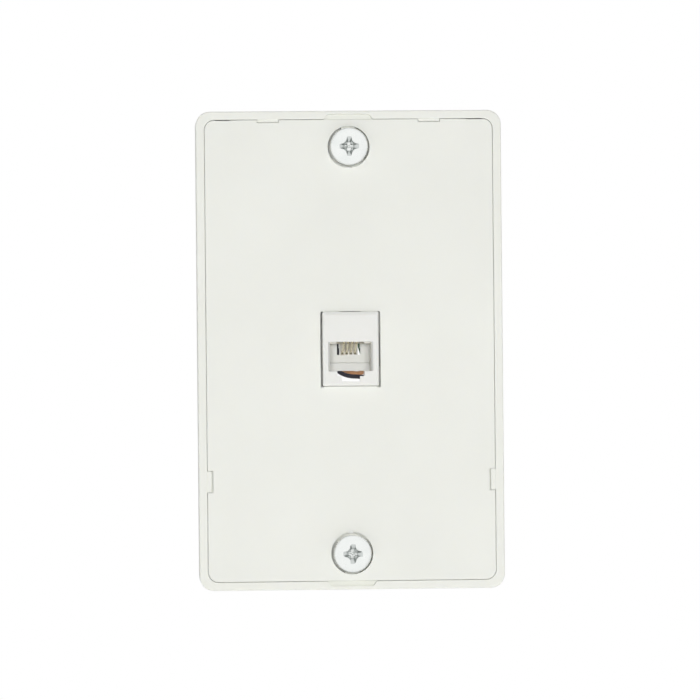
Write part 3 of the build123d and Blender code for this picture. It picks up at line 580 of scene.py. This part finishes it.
@dataclass
class Leads:
    """Insulated leads from the jack to the terminals."""

    nodes: dict[str, bpy.types.Object]
    # The line's usual colours, each a little faded by the plasticiser; the green is painted darker, as
    # painted shade for the shadow it lies in behind the jack
    finishes: dict[str, Insulation] = field(
        default_factory=lambda: {
            "red": Insulation("red_pvc_insulation", "#B5231F", "#9C1B18"),
            # The green's dark tones are painted shade
            "green": Insulation("green_pvc_insulation_painted_shade", "#27643A", "#1D4F2C"),
            "orange": Insulation("orange_pvc_insulation", "#CC9A74", "#B8855E"),
            "black": Insulation("black_pvc_insulation", "#2C2A36", "#21202B", roughness=0.34),
        }
    )
    # Routes of the two leads that cross the latch slot, from their contacts to their lugs
    routes_mm: dict[str, list[tuple[float, float, float]]] = field(
        default_factory=lambda: {
            "black": [
                (-1.524, 5.0, 6.0),
                (-1.524, 8.6, 6.0),
                (-1.55, 11.3, 6.0),
                (-1.95, 11.5, 3.4),
                (-2.1, 11.3, 0.4),
                (-2.5, 10.4, -2.6),
                (-2.9, 8.4, -4.6),
                (-1.6, 7.7, -5.68),
                (0.4, 7.6, -6.36),
                (2.9, 7.5, -6.45),
                (5.4, 6.6, -6.7),
                (8.1, 4.55, -7.0),
                (9.5, 4.55, -7.0),
                (11.1, 4.55, -7.0),
            ],
            "orange": [
                (-0.508, 5.0, 6.0),
                (-0.508, 8.6, 6.0),
                (-0.508, 11.9, 6.0),
                (-0.75, 12.5, 3.4),
                (-0.9, 12.3, 0.2),
                (-1.3, 11.4, -2.9),
                (-1.5, 9.4, -4.6),
                (-0.2, 8.8, -5.1),
                (1.4, 8.8, -5.65),
                (3.2, 8.8, -5.6),
                (5.4, 8.8, -4.6),
                (8.6, 8.0, 0.4),
                (7.6, 5.0, 6.2),
                (8.4, 4.55, 7.0),
                (9.5, 4.55, 7.0),
                (11.1, 4.55, 7.0),
            ],
        }
    )
    # Thickness of those two, rings to each stretch of the route, and steps in their roundness
    diameter_mm: float = 1.04
    rings: int = 10
    round_steps: int = 7

    def finish(self) -> None:
        """Dresses each lead in its colour, and lays the two that show from the front."""
        for colour, insulation in self.finishes.items():
            skin = insulation.make()
            if colour in self.routes_mm:
                self.lay(colour, skin)
            else:
                dress(self.nodes[f"lead_{colour}"], skin)

    def lay(self, colour: str, skin: bpy.types.Material) -> bpy.types.Object:
        """Lays one lead along its route as a smooth tube.

        Args:
            colour: Colour that names the lead.
            skin: Its insulation.

        Returns:
            The lead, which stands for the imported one.
        """
        line = bpy.data.curves.new(f"insulated_{colour}", "CURVE")
        line.dimensions = "3D"
        line.resolution_u = self.rings
        line.bevel_depth = self.diameter_mm / 2 * MM
        line.bevel_resolution = self.round_steps
        line.use_fill_caps = True
        run = line.splines.new("NURBS")
        run.points.add(len(self.routes_mm[colour]) - 1)
        for point, place in zip(run.points, self.routes_mm[colour]):
            point.co = (*(Vector(place) * MM), 1.0)
        run.order_u = 3
        run.use_endpoint_u = True
        lead = bpy.data.objects.new(f"insulated_{colour}", line)
        bpy.context.scene.collection.objects.link(lead)
        take_up(lead)
        bpy.ops.object.convert(target="MESH")
        lead = bpy.context.object
        bpy.ops.object.mode_set(mode="EDIT")
        bpy.ops.mesh.select_all(action="SELECT")
        bpy.ops.mesh.remove_doubles(threshold=WELD_M)
        bpy.ops.mesh.normals_make_consistent(inside=False)
        bpy.ops.object.mode_set(mode="OBJECT")
        bpy.ops.object.shade_smooth_by_angle(angle=ROUND_ANGLE)
        lead.data.materials.clear()
        lead.data.materials.append(skin)
        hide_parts(f"lead_{colour}")
        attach(lead, "root")
        LOG.info("%s has %d faces", lead.name, len(lead.data.polygons))
        return lead


@dataclass
class Terminals:
    """Screw terminals behind the plate, with the bare strands that end on their lugs."""

    nodes: dict[str, bpy.types.Object]
    # Thickness of a strand, strands round the middle one, and their reach in and out of the barrel
    strand_mm: float = 0.3
    ring_strands: int = 6
    inside_mm: float = 0.8
    beyond_mm: float = 0.75
    # Steps along a strand, the twist in each, and the strand's sides
    steps: int = 6
    twist_deg: float = 9.0
    sides: int = 10
    # The barrel's end from the middle of the plate, and its axis behind the wall's face
    barrel_end_mm: float = 12.9
    barrel_depth_mm: float = 4.55
    # Zinc plate with a clear chromate: a cool, faintly blue white metal
    screw_finish: PlatedSteel = PlatedSteel(
        "zinc_plated_steel_screw", "#D9DBDC", "#C4C6C8", roughness=0.3
    )
    # The same on stamped sheet, whose duller skin looks greyer
    washer_finish: PlatedSteel = PlatedSteel(
        "zinc_plated_steel_washer", "#CFD0CF", "#B9BABA", roughness=0.34
    )
    # Tin over copper sheet: grey-white, with rolling lines along the lug
    lug_finish: DrawnMetal = DrawnMetal(
        "tinned_copper_sheet", "#D4D3CE", "#B9B7B0", roughness=0.32, line_mm=0.1, along=(0.05, 1.0, 1.0)
    )
    # Bare copper, slightly browned by the air
    strand_finish: DrawnMetal = DrawnMetal(
        "bare_copper_strand", "#D99A6C", "#B87850", roughness=0.28, along=(1 / 12, 1.0, 1.0)
    )

    def finish(self) -> None:
        """Dresses the screws, the washers and the lugs."""
        screw, washer, lug = self.screw_finish.make(), self.washer_finish.make(), self.lug_finish.make()
        for terminal in Terminal:
            name = terminal.value
            dress(self.nodes[f"terminal_screw_{name}"], screw)
            dress(self.nodes[f"inner_washer_{name}"], washer)
            dress(self.nodes[f"outer_washer_{name}"], washer)
            dress(self.nodes[f"spade_lug_{name}"], lug)

    def build(self) -> list[bpy.types.Object]:
        """Builds the bare strands of all four leads.

        Returns:
            One object for each terminal.
        """
        copper = self.strand_finish.make()
        ends = []
        for terminal in Terminal:
            ends.append(self.strands(terminal, copper))
        return ends

    def strands(self, terminal: Terminal, copper: bpy.types.Material) -> bpy.types.Object:
        """Models the twisted strands that stick out of one lug's barrel.

        Args:
            terminal: Terminal that they belong to.
            copper: Material of the strands.

        Returns:
            The strands, as one object at the origin.
        """
        low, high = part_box(f"spade_lug_{terminal.value}")
        start = Vector((terminal.side * (self.barrel_end_mm - self.inside_mm) * MM, 0.0, 0.0))
        start.y = self.barrel_depth_mm * MM
        start.z = (low.z + high.z) / 2
        bpy.ops.object.select_all(action="DESELECT")
        strands = []
        for number in range(self.ring_strands + 1):
            turn = 2 * math.pi * number / self.ring_strands
            reach = 0.0 if number == self.ring_strands else self.strand_mm * MM
            bpy.ops.mesh.primitive_circle_add(
                vertices=self.sides,
                radius=self.strand_mm / 2 * MM,
                location=start + Vector((0.0, reach * math.cos(turn), reach * math.sin(turn))),
                rotation=(0.0, math.pi / 2, 0.0),
                fill_type="NGON",
            )
            strands.append(bpy.context.object)
        for strand in strands:
            strand.select_set(True)
        bpy.ops.object.join()
        bundle = bpy.context.object
        bpy.ops.object.transform_apply(location=True, rotation=True, scale=True)
        bpy.ops.object.mode_set(mode="EDIT")
        bpy.ops.mesh.select_all(action="SELECT")
        step = terminal.side * (self.inside_mm + self.beyond_mm) / self.steps * MM
        for _ in range(self.steps):
            bpy.ops.mesh.extrude_region_move(TRANSFORM_OT_translate={"value": (step, 0.0, 0.0)})
            bpy.ops.transform.rotate(
                value=math.radians(self.twist_deg), orient_axis="X", center_override=tuple(start)
            )
        bpy.ops.mesh.select_all(action="SELECT")
        bpy.ops.mesh.normals_make_consistent(inside=False)
        bpy.ops.object.mode_set(mode="OBJECT")
        bundle.name = f"bare_strands_{terminal.value}"
        bpy.ops.object.shade_smooth_by_angle(angle=ROUND_ANGLE)
        bundle.data.materials.append(copper)
        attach(bundle, "root")
        LOG.info("%s has %d faces", bundle.name, len(bundle.data.polygons))
        return bundle


@dataclass
class Studs:
    """Shouldered studs that a telephone hangs on, with their cross recesses, and their inserts."""

    nodes: dict[str, bpy.types.Object]
    # Bright zinc over cold-headed steel, near white with a blue cast
    stud_finish: PlatedSteel = PlatedSteel(
        "zinc_plated_steel_stud", "#E8EAE8", "#E2E5E3", roughness=0.3
    )
    # Thinner zinc where the punch has drawn the steel, so the recess looks grey
    # Darker grey on the recess's walls: painted shade for the shade deep in the cross recess
    recess_shade_finish: PlatedSteel = PlatedSteel(
        "zinc_plated_steel_recess_painted_shade", "#CCD0CE", "#C2C6C4", roughness=0.34
    )
    # Free-cutting brass, a warm yellow between the white bosses and the white studs
    insert_finish: TurnedBrass = TurnedBrass()
    # Wings of the recess: span and thickness at the head's end, and thickness at the foot
    span_mm: float = 4.9
    wing_mm: float = 1.15
    wing_foot_mm: float = 0.75
    # Core between the wings, and how much it widens where the punch stands out of the head
    web_mm: float = 2.5
    web_flare: float = 1.25
    # Depth of the recess, radius of its foot, and how far the punch stands out of the head
    depth_mm: float = 2.3
    foot_mm: float = 1.05
    above_mm: float = 0.6
    # Hollow in the foot: radius at its end and its mouth, length, and share of it beyond the middle
    tip_mm: tuple[float, float, float] = (0.2, 0.36, 0.4)
    tip_sunk: float = 0.25
    # Sides of the punch's cone and of its tip
    sides: int = 48
    tip_sides: int = 24
    # The lower recess stands slightly turned in the photo, as a screw is left
    lower_turn_deg: float = 2.5
    # A face within the recess that faces the room less than this is one of its walls, which get the
    # painted shade
    wall_facing: float = 0.9
    # Faces that meet at less than this are shaded as one round surface
    round_deg: float = 28.0

    def finish(self) -> None:
        """Punches and dresses the studs, and dresses the inserts."""
        low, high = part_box("upper_stud_screw")
        # The recess's material is darker than the stud's: painted shade
        plated, shaded_walls = self.stud_finish.make(), self.recess_shade_finish.make()
        brass = self.insert_finish.make((low.z + high.z) / 2)
        for level, turn in (("upper", 0.0), ("lower", self.lower_turn_deg)):
            self.stud(level, turn, plated, shaded_walls)
            dress(self.nodes[f"{level}_stud_insert"], brass)

    def stud(
        self, level: str, turn_deg: float, plated: bpy.types.Material, shaded_walls: bpy.types.Material
    ) -> bpy.types.Object:
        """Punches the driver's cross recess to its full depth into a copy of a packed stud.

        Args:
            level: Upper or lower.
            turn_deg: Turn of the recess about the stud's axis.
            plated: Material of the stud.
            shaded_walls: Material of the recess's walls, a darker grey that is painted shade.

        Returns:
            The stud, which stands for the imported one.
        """
        node = self.nodes[f"{level}_stud_screw"]
        low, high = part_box(f"{level}_stud_screw")
        top = Vector(((low.x + high.x) / 2, low.y, (low.z + high.z) / 2))
        stud = bpy.data.objects.new(f"{level}_stud", node.data.copy())
        bpy.context.scene.collection.objects.link(stud)
        take_up(stud)
        bpy.ops.object.mode_set(mode="EDIT")
        bpy.ops.mesh.select_all(action="SELECT")
        bpy.ops.mesh.remove_doubles(threshold=WELD_M)
        bpy.ops.object.mode_set(mode="OBJECT")
        punch = self.punch(top, turn_deg)
        self.combine(stud, punch, "DIFFERENCE")
        stud.data.materials.clear()
        stud.data.materials.append(plated)
        stud.data.materials.append(shaded_walls)
        for face in stud.data.polygons:
            off = face.center - top
            inside = math.hypot(off.x, off.z) < self.span_mm / 2 * MM and off.y < self.depth_mm * MM
            # The recess's walls take the second material, whose darker grey is painted shade
            face.material_index = int(inside and -face.normal.y < self.wall_facing)
        bpy.ops.object.shade_smooth_by_angle(angle=math.radians(self.round_deg))
        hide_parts(f"{level}_stud_screw")
        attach(stud, "root")
        LOG.info("%s has %d faces", stud.name, len(stud.data.polygons))
        return stud

    def punch(self, top: Vector, turn_deg: float) -> bpy.types.Object:
        """Models the punch that forms the recess: tapered wings within a cone.

        Args:
            top: Middle of the head's outer end.
            turn_deg: Turn about the stud's axis.

        Returns:
            The punch, which points into the wall.
        """
        height = self.depth_mm + self.above_mm
        middle = top + Vector((0.0, (self.depth_mm - self.above_mm) / 2 * MM, 0.0))
        way = (math.pi / 2, 0.0, 0.0)
        slope = (self.span_mm / 2 - self.foot_mm) / self.depth_mm
        mouth = self.foot_mm + slope * height
        bpy.ops.object.select_all(action="DESELECT")
        bpy.ops.mesh.primitive_cone_add(
            vertices=self.sides,
            radius1=self.foot_mm * MM,
            radius2=mouth * MM,
            depth=height * MM,
            location=middle,
            rotation=way,
        )
        cone = bpy.context.object
        wings = self.wing(middle, height, turn_deg)
        for piece in (self.wing(middle, height, turn_deg + 90), self.web(middle, height, turn_deg)):
            self.combine(wings, piece, "UNION")
        self.combine(cone, wings, "INTERSECT")
        narrow, wide, length = self.tip_mm
        bpy.ops.object.select_all(action="DESELECT")
        bpy.ops.mesh.primitive_cone_add(
            vertices=self.tip_sides,
            radius1=narrow * MM,
            radius2=wide * MM,
            depth=length * MM,
            location=top + Vector((0.0, (self.depth_mm + length * self.tip_sunk) * MM, 0.0)),
            rotation=way,
        )
        self.combine(cone, bpy.context.object, "UNION")
        return cone

    def wing(self, middle: Vector, height: float, turn_deg: float) -> bpy.types.Object:
        """One pair of wings of the punch.

        Args:
            middle: Its middle.
            height: Its height in millimetres.
            turn_deg: Turn about the stud's axis.

        Returns:
            A blade that is thinner at its foot.
        """
        bpy.ops.object.select_all(action="DESELECT")
        turn = (0.0, math.radians(turn_deg), 0.0)
        bpy.ops.mesh.primitive_cube_add(size=1.0, location=middle, rotation=turn)
        blade = bpy.context.object
        # Twice as long as the span, because the cone trims its ends
        blade.scale = Vector((2 * self.span_mm, height, self.wing_mm)) * MM
        for vertex in blade.data.vertices:
            if vertex.co.y > 0:
                vertex.co.z *= self.wing_foot_mm / self.wing_mm
        return blade

    def web(self, middle: Vector, height: float, turn_deg: float) -> bpy.types.Object:
        """Square core of the punch, whose corners run out into the wings.

        Args:
            middle: Its middle.
            height: Its height in millimetres.
            turn_deg: Turn about the stud's axis.

        Returns:
            A four-sided cone.
        """
        bpy.ops.object.select_all(action="DESELECT")
        bpy.ops.mesh.primitive_cone_add(
            vertices=4,
            radius1=self.foot_mm * MM,
            radius2=self.web_mm / 2 * self.web_flare * MM,
            depth=height * MM,
            location=middle,
            rotation=(math.pi / 2, math.radians(turn_deg), 0.0),
        )
        return bpy.context.object

    def combine(self, piece: bpy.types.Object, tool: bpy.types.Object, operation: str) -> None:
        """Joins, cuts or intersects one mesh with another, which is then gone.

        Args:
            piece: Mesh that is changed.
            tool: Mesh that it is combined with.
            operation: Name of the boolean operation.
        """
        take_up(piece)
        step = piece.modifiers.new("punched", "BOOLEAN")
        step.operation = operation
        step.solver = "EXACT"
        step.object = tool
        bpy.ops.object.modifier_apply(modifier=step.name)
        bpy.data.objects.remove(tool, do_unlink=True)


@dataclass(frozen=True)
class Lamp:
    """Soft light that neither the camera nor a polished surface shows as a shape of its own."""

    place_m: tuple[float, float, float]
    shape: str
    size_m: tuple[float, float]
    power_w: float
    aimed: bool = True

    def hang(self) -> bpy.types.Object:
        """Adds the light, turned to the socket, or straight down where it isn't aimed."""
        place = Vector(self.place_m)
        bpy.ops.object.light_add(type="AREA", location=place)
        light = bpy.context.object
        if self.aimed:
            light.rotation_euler = (-place).to_track_quat("-Z", "Y").to_euler()
        light.data.shape = self.shape
        light.data.size, light.data.size_y = self.size_m
        light.data.energy = self.power_w
        light.visible_camera = False
        light.visible_glossy = False
        return light


@dataclass(frozen=True)
class Studio:
    """White tent with its lamps, a floor below the picture, and the camera."""

    # Camera: distance, turns, width of the picture at the plate's front, and what is in its middle
    distance_m: float = 1.0
    yaw_deg: float = -2.5
    roll_deg: float = -0.535
    frame_mm: float = 166.8
    plate_front_mm: float = -7.2
    aim_mm: tuple[float, float] = (-0.116, 0.02)
    sensor_mm: float = 36.0
    # A soft box on each side, a light either side of the camera that reaches the end of the plug
    # way, and a panel overhead, behind the plate's front, that keeps the floor pale
    lamps: tuple[Lamp, ...] = (
        Lamp((-0.85, -0.75, 0.12), "RECTANGLE", (0.35, 0.8), 0.4),
        Lamp((-0.1, -1.1, 0.05), "DISK", (0.17, 0.17), 4.45),
        Lamp((0.85, -0.75, 0.12), "RECTANGLE", (0.35, 0.8), 0.4),
        Lamp((0.1, -1.1, 0.05), "DISK", (0.17, 0.17), 3.08),
        Lamp((0.0, 0.5, 1.2), "SQUARE", (0.9, 0.9), 4.5, aimed=False),
    )
    # Radiance that the tent gives to dull surfaces: before the plate, where it starts to rise
    # towards the back, and behind the plate
    tent_front: float = 0.08
    tent_edge: float = 0.15
    tent_back: float = 1.5
    # Radiance that polished surfaces mirror: the bright cloth about the camera, its sides, and
    # the stretch between them
    cloth_front: float = 1.14
    cloth_side: float = 0.6
    cloth_fall: tuple[float, float] = (-0.2, 0.6)
    # Floor: height, size, roughness, its two tones and the size of their patches
    floor_height_m: float = -0.25
    floor_size_m: float = 1.6
    floor_roughness: float = 0.8
    floor_tones: tuple[str, str] = ("#E9E9E7", "#EEEEEC")
    floor_patch_mm: float = 180.0

    def camera(self) -> None:
        """Sets the camera at the photograph's place: a metre away, level, slightly to the left."""
        target = Vector((self.aim_mm[0] * MM, self.plate_front_mm * MM, self.aim_mm[1] * MM))
        yaw = math.radians(self.yaw_deg)
        away = Vector((math.sin(yaw), -math.cos(yaw), 0.0)) * self.distance_m
        bpy.ops.object.camera_add(location=target + away)
        camera = bpy.context.object
        turn = (-away).to_track_quat("-Z", "Y").to_euler()
        turn.rotate_axis("Z", math.radians(self.roll_deg))
        camera.rotation_euler = turn
        camera.data.sensor_width = self.sensor_mm
        camera.data.lens = self.sensor_mm * self.distance_m / (self.frame_mm * MM)
        bpy.context.scene.camera = camera

    def tent(self) -> None:
        """Surrounds the socket with a tent that the camera sees as plain white.

        Dull surfaces get little light from its front, where the lamps are, and more from its back.
        Polished surfaces mirror it at its brightest about the camera.
        """
        world = bpy.data.worlds.new("white_tent")
        world.use_nodes = True
        tree = world.node_tree
        tree.nodes.clear()
        # Nearness to the camera's side is one in its direction and minus one behind the plate
        way = add_node(tree, "ShaderNodeTexCoord").outputs["Generated"]
        facing = {0: way, 1: (0.0, -1.0, 0.0)}
        towards = add_node(tree, "ShaderNodeVectorMath", facing, operation="DOT_PRODUCT")
        nearness = towards.outputs["Value"]
        spill = {"Value": nearness, "From Min": -1.0, "From Max": self.tent_edge}
        depths = {"To Min": self.tent_back, "To Max": self.tent_front}
        dull = add_node(tree, "ShaderNodeMapRange", {**spill, **depths}).outputs["Result"]
        edges = {"Value": nearness, "From Min": self.cloth_fall[0], "From Max": self.cloth_fall[1]}
        levels = {"To Min": self.cloth_side, "To Max": self.cloth_front}
        cloth = add_node(tree, "ShaderNodeMapRange", {**edges, **levels}, interpolation_type="SMOOTHSTEP")
        ray = add_node(tree, "ShaderNodeLightPath")
        ends = {"To Min": dull, "To Max": cloth.outputs["Result"]}
        mirrored = {"Value": ray.outputs["Is Glossy Ray"], **ends}
        lit = add_node(tree, "ShaderNodeMapRange", mirrored).outputs["Result"]
        seen = {"Value": ray.outputs["Is Camera Ray"], "To Min": lit}
        strength = add_node(tree, "ShaderNodeMapRange", seen)
        white = {"Color": (1.0, 1.0, 1.0, 1.0), "Strength": strength.outputs["Result"]}
        sky = add_node(tree, "ShaderNodeBackground", white)
        add_node(tree, "ShaderNodeOutputWorld", {"Surface": sky.outputs["Background"]})
        bpy.context.scene.world = world

    def floor(self) -> None:
        """Pale matte floor, below what the camera sees."""
        place = (0.0, 0.0, self.floor_height_m)
        bpy.ops.mesh.primitive_plane_add(size=self.floor_size_m, location=place)
        floor = bpy.context.object
        floor.name = "floor"
        paint, tree, shader = new_surface("pale_matte_floor")
        spot = add_node(tree, "ShaderNodeTexCoord").outputs["Object"]
        broad = {"Vector": spot, "Scale": per_metre(self.floor_patch_mm)}
        patches = add_node(tree, "ShaderNodeTexNoise", broad)
        colour = tinted(tree, patches.outputs["Fac"], *self.floor_tones)
        feed(tree, shader, {"Base Color": colour, "Roughness": self.floor_roughness})
        floor.data.materials.append(paint)
        floor.visible_glossy = False

    def light(self) -> None:
        """Adds the lamps, the tent and the floor, and shows colours as they are."""
        for lamp in self.lamps:
            lamp.hang()
        self.tent()
        self.floor()
        view = bpy.context.scene.view_settings
        view.view_transform = "Standard"
        view.look = "None"


def main() -> None:
    """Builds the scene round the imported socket."""
    logging.basicConfig(level=logging.INFO, format="%(message)s")
    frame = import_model()
    studio = Studio()
    studio.camera()
    nodes = frame["nodes"]
    Plate(nodes).finish()
    Jack(nodes).finish()
    Leads(nodes).finish()
    terminals = Terminals(nodes)
    terminals.finish()
    terminals.build()
    Studs(nodes).finish()
    studio.light()


if __name__ == "__main__":
    main()
